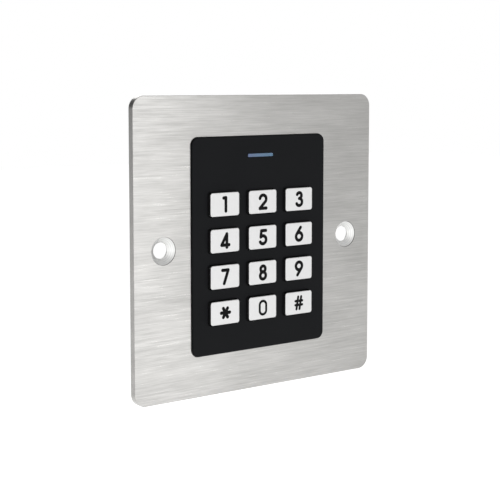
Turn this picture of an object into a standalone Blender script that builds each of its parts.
"""Keypad access reader: a square steel faceplate with a black twelve-key housing behind it.

The front faces -Y, +Z is up and +X is to the right of someone facing the keys. The origin is the centre of
the wall plane, where the seal behind the faceplate meets the wall. Everything is in metres.
"""

import math

import bmesh
import bpy
from mathutils import Matrix, Vector

MM = 0.001

# Keys: three columns and four rows.
COLUMNS = 3
ROW_LABELS = ("1", "2", "3"), ("4", "5", "6"), ("7", "8", "9"), ("star", "0", "hash")
ROWS = len(ROW_LABELS)
KEY_WIDTH = 14.0 * MM
KEY_HEIGHT = 9.4 * MM
KEY_PITCH_X = 18.9 * MM
KEY_PITCH_Z = 14.5 * MM
KEY_CORNER = 1.0 * MM
KEY_EDGE = 0.3 * MM
KEY_PROUD = 1.5 * MM
KEY_LIP = 0.7 * MM
KEY_LIP_THICKNESS = 1.0 * MM
KEY_TRAVEL = 0.9 * MM

# Bezel: the raised front of the housing, with its margins outside the block of keys.
MARGIN_SIDE = 7.6 * MM
MARGIN_TOP = 22.0 * MM
MARGIN_BOTTOM = 12.1 * MM
BEZEL_PROUD = 1.0 * MM
BEZEL_CORNER = 3.0 * MM
BEZEL_EDGE = 0.4 * MM
BEZEL_WALL = 1.8 * MM
CAVITY_CORNER = 1.2 * MM

# Housing flange behind the faceplate, with an ear above and below for the studs.
FLANGE_SIDE = 4.0 * MM
FLANGE_THICKNESS = 2.0 * MM
FLANGE_CORNER = 4.0 * MM
EAR = 8.0 * MM

# Faceplate, with the land it leaves round the flange, and its two countersunk screw holes.
LAND_SIDE = 22.5 * MM
LAND_END = 4.5 * MM
PLATE_THICKNESS = 3.0 * MM
PLATE_CORNER = 5.0 * MM
PLATE_EDGE = 0.25 * MM
SCREW_FROM_EDGE = 13.5 * MM
SCREW_HOLE_RADIUS = 3.15 * MM
COUNTERSINK_RADIUS = 5.45 * MM
COUNTERSINK_LIP = 0.25 * MM

# Seals.
SEAL_THICKNESS = 1.0 * MM
SEAL_INSET = 1.5 * MM
SEAL_WINDOW_CLEARANCE = 0.6 * MM
SEAL_HOLE_RADIUS = 5.0 * MM
COVER_SEAL_THICKNESS = 0.8 * MM

# Light bar above the keys, with the lip that holds its light pipe behind the bezel.
BAR_WIDTH = 12.8 * MM
BAR_HEIGHT = 1.5 * MM
BAR_CORNER = 0.5 * MM
BAR_DROP = 7.8 * MM
BAR_RECESS = 0.1 * MM
BAR_LIP = 1.0 * MM
LED_COUNT = 3
LED_SIZE = 2.8 * MM
LED_THICKNESS = 0.8 * MM
LED_PITCH = 4.2 * MM

# Rubber plungers and the mat whose collars they slide in.
PLUNGER_RADIUS = 3.2 * MM
PILL_RADIUS = 2.6 * MM
PLUNGER_HEAD = 1.3 * MM
COLLAR_WALL = 1.6 * MM
COLLAR_FROM_LIP = 1.2 * MM
MAT_THICKNESS = 1.2 * MM
MAT_MARGIN = 1.0 * MM

# Antenna coil, wound round the inside of the bezel.
COIL_WIDTH = 2.0 * MM
COIL_DEPTH = 1.6 * MM
COIL_CLEARANCE = 0.5 * MM

# Circuit board, its pillars and screws.
BOARD_THICKNESS = 1.6 * MM
BOARD_CLEARANCE_SIDE = 0.7 * MM
BOARD_FROM_POST = 0.4 * MM
PILLAR_RADIUS = 2.0 * MM
PILLAR_FROM_COIL = 0.45 * MM
BOARD_SCREW_RADIUS = 1.0 * MM
BOARD_SCREW_HEAD_RADIUS = 2.0 * MM
BOARD_SCREW_HEAD = 1.4 * MM
BOARD_SCREW_REACH = 3.4 * MM

# Parts on the board: width, height and depth, and how far each stands from the board's centre.
CHIP = 10.0 * MM, 10.0 * MM, 1.4 * MM
CHIP_AT = 14.0 * MM, -6.0 * MM
RELAY = 19.0 * MM, 15.5 * MM, 7.0 * MM
RELAY_AT = -14.0 * MM, 16.0 * MM
TERMINALS = 28.0 * MM, 9.0 * MM, 7.0 * MM
TERMINALS_FROM_EDGE = 9.0 * MM
TERMINAL_WAYS = 8
TERMINAL_PITCH = 3.5 * MM
TERMINAL_HOLE = 2.2 * MM
TERMINAL_HOLE_DEPTH = 3.0 * MM
BUZZER_RADIUS = 6.0 * MM
BUZZER_DEPTH = 6.0 * MM
BUZZER_PORT_RADIUS = 1.2 * MM
BUZZER_AT = 15.0 * MM, 16.0 * MM

# Studs and nuts behind the faceplate.
STUD_RADIUS = 1.5 * MM
STUD_LENGTH = 9.0 * MM
STUD_FOOT_RADIUS = 2.25 * MM
STUD_FOOT = 0.7 * MM
STUD_FROM_SIDE = 12.5 * MM
NUT_ACROSS_FLATS = 5.5 * MM
NUT_THICKNESS = 2.4 * MM

# Rear cover, its screws and its cable outlet. Its sides stand in from the flange, clear of the fixing screws.
COVER_INSET = 4.0 * MM
COVER_DEPTH = 10.8 * MM
COVER_WALL = 2.0 * MM
COVER_EDGE = 1.0 * MM
POST_RADIUS = 2.8 * MM
POST_HEIGHT = 4.7 * MM
POST_FROM_COVER = 0.5 * MM
COLUMN_RADIUS = 4.2 * MM
COVER_SCREW_RADIUS = 1.5 * MM
COVER_SCREW_HEAD_RADIUS = 2.75 * MM
COVER_SCREW_HEAD = 1.9 * MM
GROMMET_Z = -14.0 * MM
GROMMET_BORE_RADIUS = 3.3 * MM
GROMMET_NECK_RADIUS = 5.0 * MM
GROMMET_LIP_RADIUS = 7.0 * MM
GROMMET_LIP = 1.5 * MM
GROMMET_NOSE = 4.0 * MM
GROMMET_NOSE_RADIUS = 5.6 * MM

# Fits: resting pieces keep GAP, moving ones SLIDE_CLEARANCE, and screws stand clear of their holes by GAP.
GAP = 0.3 * MM
SLIDE_CLEARANCE = 0.35 * MM
STUD_CLEARANCE = 0.35 * MM
OVERLAP = 1.0 * MM
SCREW_RECESS_DEPTH = 0.9 * MM
SCREW_RECESS_SHARE = 0.55

ROUND_SIDES = 24
SMALL_ROUND_SIDES = 12
CORNER_STEPS = 6
SMALL_CORNER_STEPS = 3

# Outlines, from the keys outwards.
BEZEL_WIDTH = (COLUMNS - 1) * KEY_PITCH_X + KEY_WIDTH + 2 * MARGIN_SIDE
BEZEL_HEIGHT = (ROWS - 1) * KEY_PITCH_Z + KEY_HEIGHT + MARGIN_TOP + MARGIN_BOTTOM
CAVITY_WIDTH = BEZEL_WIDTH - 2 * BEZEL_WALL
CAVITY_HEIGHT = BEZEL_HEIGHT - 2 * BEZEL_WALL
FLANGE_WIDTH = BEZEL_WIDTH + 2 * FLANGE_SIDE
COVER_WIDTH = FLANGE_WIDTH - 2 * COVER_INSET
COVER_HEIGHT = BEZEL_HEIGHT + 2 * FLANGE_SIDE
FLANGE_HEIGHT = COVER_HEIGHT + 2 * EAR
PLATE_WIDTH = FLANGE_WIDTH + 2 * LAND_SIDE
PLATE_HEIGHT = FLANGE_HEIGHT + 2 * LAND_END
BOARD_WIDTH = CAVITY_WIDTH - 2 * BOARD_CLEARANCE_SIDE
COIL_OUTER_WIDTH = CAVITY_WIDTH - 2 * COIL_CLEARANCE
COIL_OUTER_HEIGHT = CAVITY_HEIGHT - 2 * COIL_CLEARANCE

# Depths along Y, from the wall plane at zero.
PLATE_BACK = -SEAL_THICKNESS - GAP
PLATE_FRONT = PLATE_BACK - PLATE_THICKNESS
BEZEL_FRONT = PLATE_FRONT - BEZEL_PROUD
BEZEL_BACK = BEZEL_FRONT + BEZEL_WALL
KEY_FRONT = BEZEL_FRONT - KEY_PROUD
LIP_FRONT = BEZEL_BACK + GAP
LIP_BACK = LIP_FRONT + KEY_LIP_THICKNESS
FLANGE_FRONT = GAP
FLANGE_BACK = FLANGE_FRONT + FLANGE_THICKNESS
BOARD_FRONT = FLANGE_BACK + 2 * GAP
BOARD_BACK = BOARD_FRONT + BOARD_THICKNESS
ON_BOARD = BOARD_BACK + GAP
MAT_BACK = BOARD_FRONT - GAP
MAT_FRONT = MAT_BACK - MAT_THICKNESS
COLLAR_FRONT = LIP_BACK + KEY_TRAVEL + COLLAR_FROM_LIP
PLUNGER_FRONT = LIP_BACK + GAP
PLUNGER_BACK = MAT_BACK - KEY_TRAVEL
COVER_SEAL_FRONT = FLANGE_BACK + GAP
COVER_SEAL_BACK = COVER_SEAL_FRONT + COVER_SEAL_THICKNESS
COVER_FRONT = COVER_SEAL_BACK + GAP
COVER_BACK = COVER_FRONT + COVER_DEPTH
COVER_INSIDE = COVER_BACK - COVER_WALL
POST_BACK = FLANGE_BACK + POST_HEIGHT
COLUMN_FRONT = POST_BACK + GAP
HEAD_SEAT = COVER_BACK - COVER_SCREW_HEAD - 2 * GAP

# Places, as (x, z) pairs.
KEY_TOP_Z = BEZEL_HEIGHT / 2 - MARGIN_TOP - KEY_HEIGHT / 2
KEY_PLACES = {
    label: ((column - (COLUMNS - 1) / 2) * KEY_PITCH_X, KEY_TOP_Z - row * KEY_PITCH_Z)
    for row, labels in enumerate(ROW_LABELS)
    for column, label in enumerate(labels)
}
BAR_Z = BEZEL_HEIGHT / 2 - BAR_DROP
SCREW_X = PLATE_WIDTH / 2 - SCREW_FROM_EDGE
SCREW_PLACES = [(-SCREW_X, 0.0), (SCREW_X, 0.0)]


def corners(x, z):
    """The four places that mirror (x, z) across both axes, top left first, clockwise from the front."""
    return [(-x, z), (x, z), (x, -z), (-x, -z)]


STUD_PLACES = corners(FLANGE_WIDTH / 2 - STUD_FROM_SIDE, COVER_HEIGHT / 2 + EAR / 2)
POST_INSET = COVER_WALL + POST_FROM_COVER + POST_RADIUS
POST_X = COVER_WIDTH / 2 - POST_INSET
POST_Z = COVER_HEIGHT / 2 - POST_INSET
POST_PLACES = corners(POST_X, POST_Z)
BOARD_HEIGHT = 2 * (POST_Z - POST_RADIUS - BOARD_FROM_POST)
PILLAR_INSET = COIL_WIDTH + PILLAR_FROM_COIL + PILLAR_RADIUS
PILLAR_PLACES = corners(COIL_OUTER_WIDTH / 2 - PILLAR_INSET, COIL_OUTER_HEIGHT / 2 - PILLAR_INSET)


def clear_scene():
    for obj in list(bpy.data.objects):
        bpy.data.objects.remove(obj, do_unlink=True)


def make_collection(name):
    collection = bpy.data.collections.new(name)
    bpy.context.scene.collection.children.link(collection)
    return collection


def material(name, colour, roughness, metallic=0.0):
    made = bpy.data.materials.new(name)
    made.use_nodes = True
    made.diffuse_color = (*colour, 1.0)
    shader = made.node_tree.nodes["Principled BSDF"]
    shader.inputs["Base Color"].default_value = (*colour, 1.0)
    shader.inputs["Roughness"].default_value = roughness
    shader.inputs["Metallic"].default_value = metallic
    return made


clear_scene()
PARTS = make_collection("keypad_access_reader")
CUTTERS = make_collection("keypad_access_reader_cutters")

STEEL = material("brushed_steel", (0.62, 0.61, 0.59), 0.35, 1.0)
FASTENER = material("zinc_plated_steel", (0.55, 0.56, 0.58), 0.4, 1.0)
BLACK = material("black_moulding", (0.015, 0.015, 0.016), 0.5)
SILVER = material("satin_silver", (0.78, 0.79, 0.79), 0.3, 1.0)
LENS = material("light_bar_acrylic", (0.14, 0.2, 0.32), 0.25)
RUBBER = material("black_rubber", (0.02, 0.02, 0.02), 0.8)
FOAM = material("seal_foam", (0.05, 0.05, 0.05), 0.95)
SILICONE = material("grey_silicone", (0.3, 0.31, 0.32), 0.6)
BOARD = material("green_board", (0.02, 0.16, 0.06), 0.4)
COPPER = material("enamelled_copper", (0.55, 0.22, 0.1), 0.35, 1.0)
CHIP_RESIN = material("chip_resin", (0.02, 0.02, 0.022), 0.6)
RELAY_CASE = material("relay_case", (0.03, 0.12, 0.4), 0.45)
TERMINAL_CASE = material("terminal_case", (0.03, 0.25, 0.1), 0.5)
LED_PACKAGE = material("led_package", (0.8, 0.8, 0.74), 0.4)


def keep(name, mesh, look=None):
    """Link a mesh as a named sub-part or, with no look, as a hidden tool for the Boolean modifiers."""
    obj = bpy.data.objects.new(name, mesh)
    if look is None:
        CUTTERS.objects.link(obj)
        obj.hide_render = True
        obj.display_type = "WIRE"
    else:
        PARTS.objects.link(obj)
        mesh.materials.append(look)
    return obj


def smooth(obj, degrees=35):
    obj.data.shade_smooth()
    obj.data.set_sharp_from_angle(angle=math.radians(degrees))


def mesh_from(bm, name):
    bmesh.ops.recalc_face_normals(bm, faces=bm.faces)
    mesh = bpy.data.meshes.new(name)
    bm.to_mesh(mesh)
    bm.free()
    return mesh


def rim(bm, depth):
    """Edges that lie in the plane y = depth."""
    near = 0.01 * MM
    return [edge for edge in bm.edges if all(abs(v.co.y - depth) < near for v in edge.verts)]


def add_block(bm, width, height, front, back, place=(0, 0), corner=0.0, steps=SMALL_CORNER_STEPS):
    """Add a box to bm with its four long edges along Y rounded to the corner radius."""
    size = Matrix.Diagonal((width, back - front, height, 1.0))
    centre = Matrix.Translation((place[0], (front + back) / 2, place[1]))
    verts = bmesh.ops.create_cube(bm, size=1.0, matrix=centre @ size)["verts"]
    if corner:
        edges = {edge for vert in verts for edge in vert.link_edges}
        along_y = [e for e in edges if abs(e.verts[0].co.y - e.verts[1].co.y) > (back - front) / 2]
        bmesh.ops.bevel(bm, geom=along_y, offset=corner, segments=steps, profile=0.5, affect="EDGES")


def block(name, width, height, front, back, look=None, place=(0, 0), corner=0.0,
          steps=SMALL_CORNER_STEPS, front_edge=0.0, back_edge=0.0):
    """A rounded box whose front and back rims can be broken by a small bevel."""
    bm = bmesh.new()
    add_block(bm, width, height, front, back, place, corner, steps)
    for depth, edge in ((front, front_edge), (back, back_edge)):
        if edge:
            bmesh.ops.bevel(bm, geom=rim(bm, depth), offset=edge, segments=2, profile=0.5, affect="EDGES")
    obj = keep(name, mesh_from(bm, name), look)
    if look:
        smooth(obj)
    return obj


def blocks(name, width, height, front, back, places, corner=0.0):
    """One hidden tool made of equal boxes."""
    bm = bmesh.new()
    for place in places:
        add_block(bm, width, height, front, back, place, corner)
    return keep(name, mesh_from(bm, name))


def cylinders(name, radius, front, back, places, look=None, sides=ROUND_SIDES):
    """Equal cylinders along Y, one at each place, with a flat side facing up."""
    bm = bmesh.new()
    upright = Matrix.Rotation(math.radians(90), 4, "X") @ Matrix.Rotation(math.pi / sides, 4, "Z")
    for x, z in places:
        centre = Matrix.Translation((x, (front + back) / 2, z))
        bmesh.ops.create_cone(bm, cap_ends=True, segments=sides, radius1=radius, radius2=radius,
                              depth=back - front, matrix=centre @ upright)
    return keep(name, mesh_from(bm, name), look)


def turned(name, profile, place, look=None, sides=ROUND_SIDES, closed=False):
    """A turned shape on an axis along Y: (radius, depth) points run down its outer side, front to back."""
    points = [Vector((radius, 0.0, -depth)) for radius, depth in profile]
    edges = [(i, i + 1) for i in range(len(points) - 1)]
    if closed:
        edges.append((len(points) - 1, 0))
    mesh = bpy.data.meshes.new(name)
    mesh.from_pydata(points, edges, [])
    obj = keep(name, mesh, look)
    obj.location = (place[0], 0.0, place[1])
    obj.rotation_euler.x = math.radians(90)
    screw = obj.modifiers.new("turn", "SCREW")
    screw.steps = screw.render_steps = sides
    screw.use_merge_vertices = True
    screw.merge_threshold = 0.005 * MM
    screw.use_smooth_shade = False
    return obj


def combine(target, tool, operation="DIFFERENCE"):
    modifier = target.modifiers.new(tool.name, "BOOLEAN")
    modifier.operation = operation
    modifier.object = tool
    modifier.solver = "EXACT"


def frame_ring(name, outer, inner, front, back, look, corner, inner_corner):
    """A flat frame between an outer and an inner rounded rectangle, each (width, height)."""
    ring = block(name, *outer, front, back, look, corner=corner, steps=CORNER_STEPS)
    window = block(name + "_window", *inner, front - OVERLAP, back + OVERLAP,
                   corner=inner_corner, steps=CORNER_STEPS)
    combine(ring, window)
    return ring


def faceplate():
    plate = block("faceplate", PLATE_WIDTH, PLATE_HEIGHT, PLATE_FRONT, PLATE_BACK, STEEL,
                  corner=PLATE_CORNER, steps=CORNER_STEPS, front_edge=PLATE_EDGE)
    window = block("faceplate_window", BEZEL_WIDTH + 2 * GAP, BEZEL_HEIGHT + 2 * GAP,
                   PLATE_FRONT - OVERLAP, PLATE_BACK + OVERLAP, corner=BEZEL_CORNER + GAP,
                   steps=CORNER_STEPS)
    combine(plate, window)
    # A 90 degree countersink: it narrows by as much as it deepens.
    lip = PLATE_FRONT + COUNTERSINK_LIP
    seat = lip + COUNTERSINK_RADIUS - SCREW_HOLE_RADIUS
    for side, place in zip(("left", "right"), SCREW_PLACES):
        profile = [(0, PLATE_FRONT - OVERLAP), (COUNTERSINK_RADIUS, PLATE_FRONT - OVERLAP),
                   (COUNTERSINK_RADIUS, lip), (SCREW_HOLE_RADIUS, seat),
                   (SCREW_HOLE_RADIUS, PLATE_BACK + OVERLAP), (0, PLATE_BACK + OVERLAP)]
        combine(plate, turned("countersink_" + side, profile, place, sides=2 * SMALL_ROUND_SIDES))


def seals():
    outer = PLATE_WIDTH - 2 * SEAL_INSET, PLATE_HEIGHT - 2 * SEAL_INSET
    inner = FLANGE_WIDTH + 2 * SEAL_WINDOW_CLEARANCE, FLANGE_HEIGHT + 2 * SEAL_WINDOW_CLEARANCE
    wall_seal = frame_ring("wall_seal", outer, inner, -SEAL_THICKNESS, 0, FOAM,
                           PLATE_CORNER - SEAL_INSET, FLANGE_CORNER + SEAL_WINDOW_CLEARANCE)
    combine(wall_seal, cylinders("wall_seal_holes", SEAL_HOLE_RADIUS, -SEAL_THICKNESS - OVERLAP,
                                 OVERLAP, SCREW_PLACES))

    outer = FLANGE_WIDTH - 2 * SEAL_WINDOW_CLEARANCE, FLANGE_HEIGHT - 2 * SEAL_WINDOW_CLEARANCE
    inner = BEZEL_WIDTH + 2 * SEAL_WINDOW_CLEARANCE, BEZEL_HEIGHT + 2 * SEAL_WINDOW_CLEARANCE
    plate_seal = frame_ring("plate_gasket", outer, inner, -SEAL_THICKNESS, 0, FOAM,
                            FLANGE_CORNER - SEAL_WINDOW_CLEARANCE, BEZEL_CORNER + SEAL_WINDOW_CLEARANCE)
    combine(plate_seal, cylinders("plate_gasket_holes", STUD_FOOT_RADIUS + STUD_CLEARANCE,
                                  -SEAL_THICKNESS - OVERLAP, OVERLAP, STUD_PLACES,
                                  sides=SMALL_ROUND_SIDES))

    inner = COVER_WIDTH - 2 * COVER_WALL, COVER_HEIGHT - 2 * COVER_WALL
    frame_ring("cover_gasket", (COVER_WIDTH, COVER_HEIGHT), inner, COVER_SEAL_FRONT, COVER_SEAL_BACK,
               RUBBER, FLANGE_CORNER, FLANGE_CORNER - COVER_WALL)


def front_housing():
    """The bezel and flange in one moulding, hollowed from behind, with its posts and pillars."""
    housing = block("front_housing", BEZEL_WIDTH, BEZEL_HEIGHT, BEZEL_FRONT, FLANGE_BACK - GAP, BLACK,
                    corner=BEZEL_CORNER, steps=CORNER_STEPS, front_edge=BEZEL_EDGE)
    combine(housing, block("flange", FLANGE_WIDTH, FLANGE_HEIGHT, FLANGE_FRONT, FLANGE_BACK,
                           corner=FLANGE_CORNER, steps=CORNER_STEPS), "UNION")
    combine(housing, block("cavity", CAVITY_WIDTH, CAVITY_HEIGHT, BEZEL_BACK, FLANGE_BACK + OVERLAP,
                           corner=CAVITY_CORNER))
    combine(housing, blocks("key_openings", KEY_WIDTH + 2 * SLIDE_CLEARANCE,
                            KEY_HEIGHT + 2 * SLIDE_CLEARANCE, BEZEL_FRONT - OVERLAP,
                            BEZEL_BACK + OVERLAP, KEY_PLACES.values(), KEY_CORNER + SLIDE_CLEARANCE))
    combine(housing, block("bar_slot", BAR_WIDTH + 2 * GAP, BAR_HEIGHT + 2 * GAP, BEZEL_FRONT - OVERLAP,
                           BEZEL_BACK + OVERLAP, place=(0, BAR_Z), corner=BAR_CORNER + GAP))
    combine(housing, cylinders("posts", POST_RADIUS, (FLANGE_FRONT + FLANGE_BACK) / 2, POST_BACK,
                               POST_PLACES, sides=SMALL_ROUND_SIDES), "UNION")
    combine(housing, cylinders("pillars", PILLAR_RADIUS, (BEZEL_FRONT + BEZEL_BACK) / 2, MAT_BACK,
                               PILLAR_PLACES, sides=SMALL_ROUND_SIDES), "UNION")
    combine(housing, cylinders("post_holes", COVER_SCREW_RADIUS + GAP, FLANGE_BACK,
                               POST_BACK + OVERLAP, POST_PLACES, sides=SMALL_ROUND_SIDES))
    combine(housing, cylinders("pillar_holes", BOARD_SCREW_RADIUS + GAP,
                               BOARD_BACK - BOARD_SCREW_REACH - GAP, MAT_BACK + OVERLAP,
                               PILLAR_PLACES, sides=SMALL_ROUND_SIDES))
    combine(housing, cylinders("stud_holes", STUD_RADIUS + STUD_CLEARANCE, FLANGE_FRONT - OVERLAP,
                               FLANGE_BACK + OVERLAP, STUD_PLACES, sides=SMALL_ROUND_SIDES))


def key_cap(label, place):
    """A key cap, its origin on its slide axis at the wall plane: a lip behind the bezel and a raised cap."""
    bm = bmesh.new()
    add_block(bm, KEY_WIDTH + 2 * KEY_LIP, KEY_HEIGHT + 2 * KEY_LIP, LIP_FRONT, LIP_BACK,
              corner=KEY_CORNER + KEY_LIP)
    bm.normal_update()
    face = min(bm.faces, key=lambda f: f.normal.y)
    bmesh.ops.inset_region(bm, faces=[face], thickness=KEY_LIP, use_even_offset=True)
    face = bmesh.ops.extrude_discrete_faces(bm, faces=[face])["faces"][0]
    bmesh.ops.translate(bm, verts=face.verts, vec=(0, KEY_FRONT - LIP_FRONT, 0))
    bmesh.ops.bevel(bm, geom=rim(bm, KEY_FRONT), offset=KEY_EDGE, segments=2, profile=0.5, affect="EDGES")
    name = "key_" + label
    key = keep(name, mesh_from(bm, name), SILVER)
    key.location = (place[0], 0.0, place[1])
    smooth(key)


def plunger(label, place):
    profile = [(0, PLUNGER_FRONT), (PLUNGER_RADIUS, PLUNGER_FRONT),
               (PLUNGER_RADIUS, PLUNGER_FRONT + PLUNGER_HEAD),
               (PILL_RADIUS, PLUNGER_FRONT + PLUNGER_HEAD + PLUNGER_RADIUS - PILL_RADIUS),
               (PILL_RADIUS, PLUNGER_BACK), (0, PLUNGER_BACK)]
    turned("plunger_" + label, profile, place, SILICONE, SMALL_ROUND_SIDES)


def keypad_mat():
    collar = PLUNGER_RADIUS + SLIDE_CLEARANCE + COLLAR_WALL
    width = (COLUMNS - 1) * KEY_PITCH_X + 2 * (collar + MAT_MARGIN)
    height = (ROWS - 1) * KEY_PITCH_Z + 2 * (collar + MAT_MARGIN)
    middle = KEY_TOP_Z - (ROWS - 1) * KEY_PITCH_Z / 2
    mat = block("keypad_mat", width, height, MAT_FRONT, MAT_BACK, SILICONE, (0, middle),
                corner=KEY_CORNER)
    places = KEY_PLACES.values()
    combine(mat, cylinders("collars", collar, COLLAR_FRONT, (MAT_FRONT + MAT_BACK) / 2, places,
                           sides=SMALL_ROUND_SIDES), "UNION")
    combine(mat, cylinders("collar_bores", PLUNGER_RADIUS + SLIDE_CLEARANCE,
                           COLLAR_FRONT - OVERLAP, MAT_BACK + OVERLAP, places,
                           sides=SMALL_ROUND_SIDES))


def light_bar():
    led_back = BOARD_FRONT - GAP
    pipe_back = led_back - LED_THICKNESS - GAP
    at = 0, BAR_Z
    pipe = block("light_pipe", BAR_WIDTH, BAR_HEIGHT, BEZEL_FRONT + BAR_RECESS, pipe_back, LENS, at,
                 corner=BAR_CORNER)
    combine(pipe, block("pipe_lip", BAR_WIDTH + 2 * BAR_LIP, BAR_HEIGHT + 2 * BAR_LIP, LIP_FRONT,
                        LIP_BACK, place=at, corner=BAR_CORNER), "UNION")
    for i in range(LED_COUNT):
        x = (i - (LED_COUNT - 1) / 2) * LED_PITCH
        block(f"status_led_{i + 1}", LED_SIZE, LED_SIZE, led_back - LED_THICKNESS, led_back, LED_PACKAGE,
              (x, BAR_Z))


def antenna_coil():
    outer = COIL_OUTER_WIDTH, COIL_OUTER_HEIGHT
    inner = COIL_OUTER_WIDTH - 2 * COIL_WIDTH, COIL_OUTER_HEIGHT - 2 * COIL_WIDTH
    frame_ring("antenna_coil", outer, inner, LIP_FRONT, LIP_FRONT + COIL_DEPTH, COPPER,
               CAVITY_CORNER + COIL_WIDTH, CAVITY_CORNER)


def circuit_board():
    board = block("circuit_board", BOARD_WIDTH, BOARD_HEIGHT, BOARD_FRONT, BOARD_BACK, BOARD,
                  corner=CAVITY_CORNER)
    combine(board, cylinders("board_holes", BOARD_SCREW_RADIUS + GAP, BOARD_FRONT - OVERLAP,
                             BOARD_BACK + OVERLAP, PILLAR_PLACES, sides=SMALL_ROUND_SIDES))

    def on_board(name, size, look, place):
        return block(name, size[0], size[1], ON_BOARD, ON_BOARD + size[2], look, place)

    on_board("microcontroller", CHIP, CHIP_RESIN, CHIP_AT)
    on_board("relay", RELAY, RELAY_CASE, RELAY_AT)
    terminals_z = -BOARD_HEIGHT / 2 + TERMINALS_FROM_EDGE
    terminals = on_board("terminal_block", TERMINALS, TERMINAL_CASE, (0, terminals_z))
    ways = [((i - (TERMINAL_WAYS - 1) / 2) * TERMINAL_PITCH, terminals_z) for i in range(TERMINAL_WAYS)]
    top = ON_BOARD + TERMINALS[2]
    combine(terminals, blocks("wire_entries", TERMINAL_HOLE, TERMINAL_HOLE, top - TERMINAL_HOLE_DEPTH,
                              top + OVERLAP, ways))
    buzzer_back = ON_BOARD + BUZZER_DEPTH
    port_floor = ON_BOARD + BUZZER_DEPTH / 2
    profile = [(0, ON_BOARD), (BUZZER_RADIUS, ON_BOARD), (BUZZER_RADIUS, buzzer_back),
               (BUZZER_PORT_RADIUS, buzzer_back), (BUZZER_PORT_RADIUS, port_floor), (0, port_floor)]
    turned("buzzer", profile, BUZZER_AT, CHIP_RESIN)


def screw(name, place, seat, head, head_radius, radius, tip, look=FASTENER):
    """A pan head screw driven from behind: its head seats at the depth seat and its tip points forward."""
    recess = head_radius * SCREW_RECESS_SHARE
    back = seat + head
    profile = [(0, tip), (radius, tip), (radius, seat), (head_radius, seat), (head_radius, back),
               (recess, back), (recess, back - SCREW_RECESS_DEPTH), (0, back - SCREW_RECESS_DEPTH)]
    turned(name, profile, place, look, SMALL_ROUND_SIDES)


def fasteners():
    nut_front = FLANGE_BACK + GAP
    foot = PLATE_BACK + GAP
    stud = [(0, foot), (STUD_FOOT_RADIUS, foot), (STUD_FOOT_RADIUS, foot + STUD_FOOT),
            (STUD_RADIUS, foot + STUD_FOOT), (STUD_RADIUS, foot + STUD_LENGTH), (0, foot + STUD_LENGTH)]
    for i, place in enumerate(STUD_PLACES, 1):
        turned(f"weld_stud_{i}", stud, place, FASTENER, SMALL_ROUND_SIDES)
        nut = cylinders(f"stud_nut_{i}", NUT_ACROSS_FLATS / math.sqrt(3), nut_front,
                        nut_front + NUT_THICKNESS, [place], FASTENER, sides=6)
        combine(nut, cylinders(f"nut_bore_{i}", STUD_RADIUS + GAP, nut_front - OVERLAP,
                               nut_front + NUT_THICKNESS + OVERLAP, [place], sides=SMALL_ROUND_SIDES))
    for i, place in enumerate(PILLAR_PLACES, 1):
        screw(f"board_screw_{i}", place, ON_BOARD, BOARD_SCREW_HEAD, BOARD_SCREW_HEAD_RADIUS,
              BOARD_SCREW_RADIUS, BOARD_BACK - BOARD_SCREW_REACH)
    for i, place in enumerate(POST_PLACES, 1):
        screw(f"cover_screw_{i}", place, HEAD_SEAT + GAP, COVER_SCREW_HEAD, COVER_SCREW_HEAD_RADIUS,
              COVER_SCREW_RADIUS, FLANGE_BACK + GAP)


def rear_cover():
    cover = block("rear_cover", COVER_WIDTH, COVER_HEIGHT, COVER_FRONT, COVER_BACK, BLACK,
                  corner=FLANGE_CORNER, steps=CORNER_STEPS, back_edge=COVER_EDGE)
    combine(cover, block("cover_cavity", COVER_WIDTH - 2 * COVER_WALL, COVER_HEIGHT - 2 * COVER_WALL,
                         COVER_FRONT - OVERLAP, COVER_INSIDE, corner=FLANGE_CORNER - COVER_WALL))
    combine(cover, cylinders("columns", COLUMN_RADIUS, COLUMN_FRONT, COVER_BACK - COVER_WALL / 2,
                             POST_PLACES), "UNION")
    combine(cover, cylinders("column_bores", COVER_SCREW_RADIUS + GAP, COLUMN_FRONT - OVERLAP,
                             COVER_BACK, POST_PLACES, sides=SMALL_ROUND_SIDES))
    combine(cover, cylinders("head_wells", COVER_SCREW_HEAD_RADIUS + GAP, HEAD_SEAT,
                             COVER_BACK + OVERLAP, POST_PLACES, sides=SMALL_ROUND_SIDES))
    at = 0, GROMMET_Z
    combine(cover, cylinders("outlet", GROMMET_NECK_RADIUS + GAP, COVER_INSIDE - OVERLAP,
                             COVER_BACK + OVERLAP, [at]))
    inside, outside = COVER_INSIDE - GAP, COVER_BACK + GAP
    profile = [(GROMMET_LIP_RADIUS, inside - GROMMET_LIP), (GROMMET_LIP_RADIUS, inside),
               (GROMMET_NECK_RADIUS, inside), (GROMMET_NECK_RADIUS, outside),
               (GROMMET_LIP_RADIUS, outside), (GROMMET_NOSE_RADIUS, outside + GROMMET_NOSE),
               (GROMMET_BORE_RADIUS, outside + GROMMET_NOSE),
               (GROMMET_BORE_RADIUS, inside - GROMMET_LIP)]
    turned("cable_grommet", profile, at, RUBBER, closed=True)


faceplate()
seals()
front_housing()
for key_label, key_place in KEY_PLACES.items():
    key_cap(key_label, key_place)
    plunger(key_label, key_place)
keypad_mat()
light_bar()
antenna_coil()
circuit_board()
rear_cover()
fasteners()
